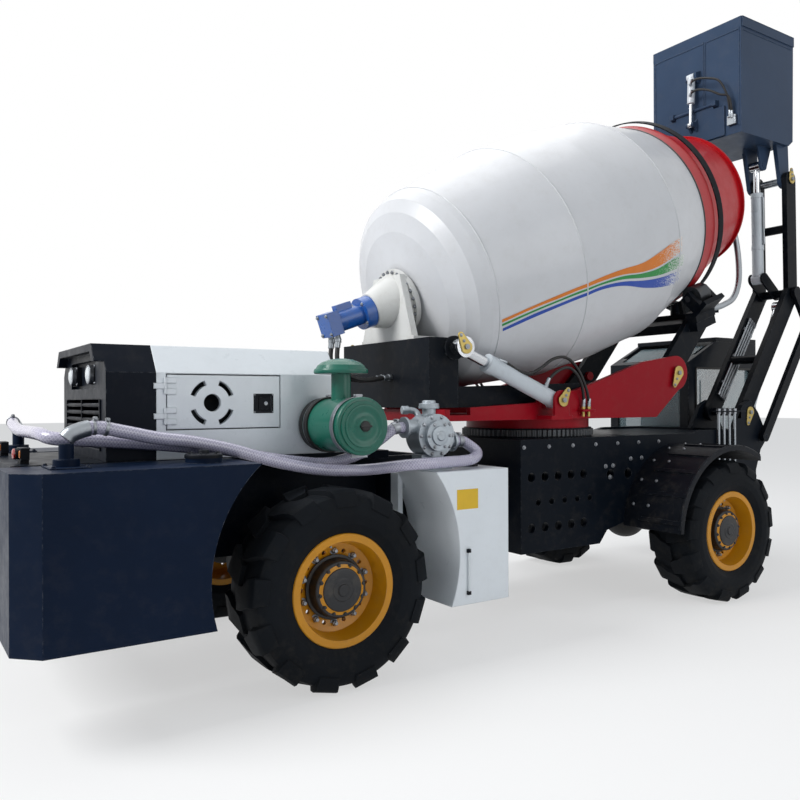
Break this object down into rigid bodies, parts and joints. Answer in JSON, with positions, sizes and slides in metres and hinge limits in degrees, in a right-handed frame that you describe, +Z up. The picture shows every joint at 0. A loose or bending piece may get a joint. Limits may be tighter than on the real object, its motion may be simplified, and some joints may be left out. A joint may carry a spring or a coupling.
{
  "type": "concrete mixer truck",
  "caption": "Self-loading articulated concrete mixer: slewing and tilting mixing drum, lifting boom with gated loading bucket, side cab, water tanks and large lugged tyres.",
  "frame": {"origin": "centre of the bounding box on the ground under the tyres", "axes": "+X forward towards the loading bucket, +Y left, +Z up"},
  "size_m": [7, 2.16, 4.99],
  "materials": {
    "chassis_black": "satin",
    "axle_iron": "rough",
    "hood_white": "gloss",
    "cowl_black": "gloss",
    "lamp_lens": "gloss",
    "tank_slate": "satin",
    "tank_white": "satin",
    "cleaner_green": "gloss",
    "pump_silver": "cast",
    "hose_pvc": "soft",
    "lamp_red": "gloss",
    "tyre_rubber": "matte",
    "rim_yellow": "satin",
    "cab_dark": "satin",
    "cab_glazing": "clear",
    "seat_black": "matte",
    "console_grey": "matte",
    "bed_red": "gloss",
    "cylinder_white": "gloss",
    "rod_chrome": "polished",
    "gear_white": "satin",
    "motor_blue": "gloss",
    "roller_steel": "worn",
    "drum_white": "satin",
    "mouth_red": "gloss",
    "boom_black": "satin",
    "pin_steel": "worn",
    "bucket_slate": "satin",
    "engine_grey": "rough",
    "mudguard_black": "matte"
  },
  "bodies": {
    "chassis": {"rear_frame": "chassis_black", "rear_axle": "axle_iron", "engine": "engine_grey", "hood": "hood_white", "rear_cowl": "cowl_black", "work_lamps": "lamp_lens", "right_water_tank": "tank_slate", "left_water_tank": "tank_slate", "fuel_tank": "tank_white", "hydraulic_tank": "tank_slate", "air_cleaner": "cleaner_green", "water_pump": "pump_silver", "water_hose_right": "hose_pvc", "water_hose_left": "hose_pvc", "rear_lamps": "lamp_red"},
    "hood_door_right": {"hood_door_right": "hood_white"},
    "hood_door_left": {"hood_door_left": "hood_white"},
    "wheel_rear_right": {"tyre_rear_right": "tyre_rubber", "rim_rear_right": "rim_yellow"},
    "wheel_rear_left": {"tyre_rear_left": "tyre_rubber", "rim_rear_left": "rim_yellow"},
    "wheel_front_right": {"tyre_front_right": "tyre_rubber", "rim_front_right": "rim_yellow"},
    "wheel_front_left": {"tyre_front_left": "tyre_rubber", "rim_front_left": "rim_yellow"},
    "front": {"front_frame": "chassis_black", "front_axle": "axle_iron", "front_mudguards": "mudguard_black", "cab_frame": "cab_dark", "cab_roof": "cab_dark", "cab_glass": "cab_glazing", "cab_seat": "seat_black", "cab_console": "console_grey"},
    "cab_door": {"cab_door": "cab_dark", "cab_door_glass": "cab_glazing"},
    "slew": {"slew_bed": "bed_red"},
    "tilt_barrel": {"tilt_barrels": "cylinder_white"},
    "tilt_rod": {"tilt_rods": "rod_chrome"},
    "cradle": {"drum_cradle": "boom_black", "drum_gearbox": "gear_white", "drum_motor": "motor_blue"},
    "roller_right": {"roller_right": "roller_steel"},
    "roller_left": {"roller_left": "roller_steel"},
    "chute": {"discharge_chute": "boom_black"},
    "drum": {"drum_shell": "drum_white", "drum_mouth": "mouth_red"},
    "boom": {"boom_arms": "boom_black"},
    "lift_barrel": {"lift_barrel": "cylinder_white"},
    "lift_rod": {"lift_rod": "rod_chrome"},
    "level_link": {"level_link": "boom_black"},
    "bellcrank": {"bellcrank": "boom_black"},
    "bucket_pin": {"bucket_pin": "pin_steel"},
    "bucket": {"bucket": "bucket_slate"},
    "bucket_barrel": {"bucket_barrel": "cylinder_white"},
    "bucket_rod": {"bucket_rod": "rod_chrome"},
    "bucket_gate": {"bucket_gate": "bucket_slate"},
    "gate_barrel": {"gate_barrel": "cylinder_white"},
    "gate_rod": {"gate_rod": "rod_chrome"}
  },
  "joints": [
    {"name": "articulation", "type": "hinge", "parent": "chassis", "child": "front", "pos_m": [-0.5, 0, 0.87], "axis": [0, 0, 1], "range_deg": [-35, 35]},
    {"name": "wheel_rear_right", "type": "hinge", "parent": "chassis", "child": "wheel_rear_right", "pos_m": [-1.9, -0.873, 0.54], "axis": [0, 1, 0], "continuous": true},
    {"name": "wheel_rear_left", "type": "hinge", "parent": "chassis", "child": "wheel_rear_left", "pos_m": [-1.9, 0.873, 0.54], "axis": [0, 1, 0], "continuous": true},
    {"name": "wheel_front_right", "type": "hinge", "parent": "front", "child": "wheel_front_right", "pos_m": [1.49, -0.873, 0.54], "axis": [0, 1, 0], "continuous": true},
    {"name": "wheel_front_left", "type": "hinge", "parent": "front", "child": "wheel_front_left", "pos_m": [1.49, 0.873, 0.54], "axis": [0, 1, 0], "continuous": true},
    {"name": "hood_door_right", "type": "hinge", "parent": "chassis", "child": "hood_door_right", "pos_m": [-2.7, -0.55, 1.545], "axis": [0, 0, -1], "range_deg": [0, 100]},
    {"name": "hood_door_left", "type": "hinge", "parent": "chassis", "child": "hood_door_left", "pos_m": [-2.7, 0.55, 1.545], "axis": [0, 0, 1], "range_deg": [0, 100]},
    {"name": "cab_door", "type": "hinge", "parent": "front", "child": "cab_door", "pos_m": [3.346, 0.992, 1.26], "axis": [0, 0, -1], "range_deg": [0, 75]},
    {"name": "slew", "type": "hinge", "parent": "front", "child": "slew", "pos_m": [0.35, 0, 1.34], "axis": [0, 0, 1], "range_deg": [-90, 135]},
    {"name": "drum_tilt", "type": "hinge", "parent": "slew", "child": "cradle", "pos_m": [1.5, 0, 1.768], "axis": [0, 1, 0], "range_deg": [0, 12]},
    {"name": "tilt_barrel", "type": "hinge", "parent": "slew", "child": "tilt_barrel", "pos_m": [0.05, 0, 1.548], "axis": [0, 1, 0], "range_deg": [0, 24.6]},
    {"name": "tilt_rod", "type": "slide", "parent": "tilt_barrel", "child": "tilt_rod", "axis": [-0.9262, 0, 0.377], "range_m": [0, 0.2095]},
    {"name": "drum_spin", "type": "hinge", "parent": "cradle", "child": "drum", "pos_m": [0.36, 0, 2.69], "axis": [0.9432, 0, 0.3323], "continuous": true},
    {"name": "roller_right", "type": "hinge", "parent": "cradle", "child": "roller_right", "pos_m": [1.7869, -0.5257, 2.4257], "axis": [0.9432, 0, 0.3323], "continuous": true},
    {"name": "roller_left", "type": "hinge", "parent": "cradle", "child": "roller_left", "pos_m": [1.7869, 0.5257, 2.4257], "axis": [0.9432, 0, 0.3323], "continuous": true},
    {"name": "chute_swing", "type": "hinge", "parent": "cradle", "child": "chute", "pos_m": [2.22, 0, 2.4], "axis": [0, 0, 1], "range_deg": [-50, 50]},
    {"name": "boom_lift", "type": "hinge", "parent": "front", "child": "boom", "pos_m": [2.5, -0.3175, 1.435], "axis": [0, 1, 0], "range_deg": [0, 103]},
    {"name": "lift_barrel", "type": "hinge", "parent": "front", "child": "lift_barrel", "pos_m": [2.53, -0.395, 1.044], "axis": [0, 1, 0], "range_deg": [0, 97.2]},
    {"name": "lift_rod", "type": "slide", "parent": "lift_barrel", "child": "lift_rod", "axis": [0.4258, 0, 0.9048], "range_m": [-0.602, 0]},
    {"name": "level_link", "type": "hinge", "parent": "front", "child": "level_link", "pos_m": [2.66, -0.586, 1.215], "axis": [0, 1, 0], "range_deg": [0, 103]},
    {"name": "bellcrank", "type": "hinge", "parent": "boom", "child": "bellcrank", "pos_m": [3.27, -0.3175, 2.556], "axis": [0, 1, 0], "range_deg": [-103, 0]},
    {"name": "bucket_pin", "type": "hinge", "parent": "boom", "child": "bucket_pin", "pos_m": [3.25, -0.3175, 3.63], "axis": [0, 1, 0], "range_deg": [-103, 0]},
    {"name": "bucket_tilt", "type": "hinge", "parent": "bucket_pin", "child": "bucket", "pos_m": [3.25, -0.3175, 3.63], "axis": [0, 1, 0], "range_deg": [-20, 45]},
    {"name": "bucket_barrel", "type": "hinge", "parent": "bellcrank", "child": "bucket_barrel", "pos_m": [3.08, -0.268, 2.697], "axis": [0, 1, 0], "range_deg": [0, 103]},
    {"name": "bucket_rod", "type": "slide", "parent": "bucket_barrel", "child": "bucket_rod", "axis": [-0.0186, 0, 0.9998], "range_m": [-0.052, 0.115]},
    {"name": "bucket_gate", "type": "hinge", "parent": "bucket", "child": "bucket_gate", "pos_m": [2.476, 0, 4.272], "axis": [0, 1, 0], "range_deg": [0, 40]},
    {"name": "gate_barrel", "type": "hinge", "parent": "bucket", "child": "gate_barrel", "pos_m": [2.445, 0, 4.585], "axis": [0, 1, 0], "range_deg": [0, 12]},
    {"name": "gate_rod", "type": "slide", "parent": "gate_barrel", "child": "gate_rod", "axis": [-0.0329, 0, -0.9995], "range_m": [-0.0525, 0]}
  ],
  "couplings": [
    {"joint": "tilt_barrel", "follows": "drum_tilt", "ratio": 2.045},
    {"joint": "tilt_rod", "follows": "drum_tilt", "m_per_rad": 1},
    {"joint": "lift_barrel", "follows": "boom_lift", "ratio": 0.943},
    {"joint": "lift_rod", "follows": "boom_lift", "m_per_rad": -0.3345},
    {"joint": "level_link", "follows": "boom_lift", "ratio": 1},
    {"joint": "bellcrank", "follows": "boom_lift", "ratio": -1},
    {"joint": "bucket_pin", "follows": "boom_lift", "ratio": -1},
    {"joint": "bucket_barrel", "follows": "boom_lift", "ratio": 1},
    {"joint": "bucket_rod", "follows": "bucket_tilt", "m_per_rad": 0.145},
    {"joint": "gate_barrel", "follows": "bucket_gate", "ratio": 0.295},
    {"joint": "gate_rod", "follows": "bucket_gate", "m_per_rad": -0.0745}
  ]
}
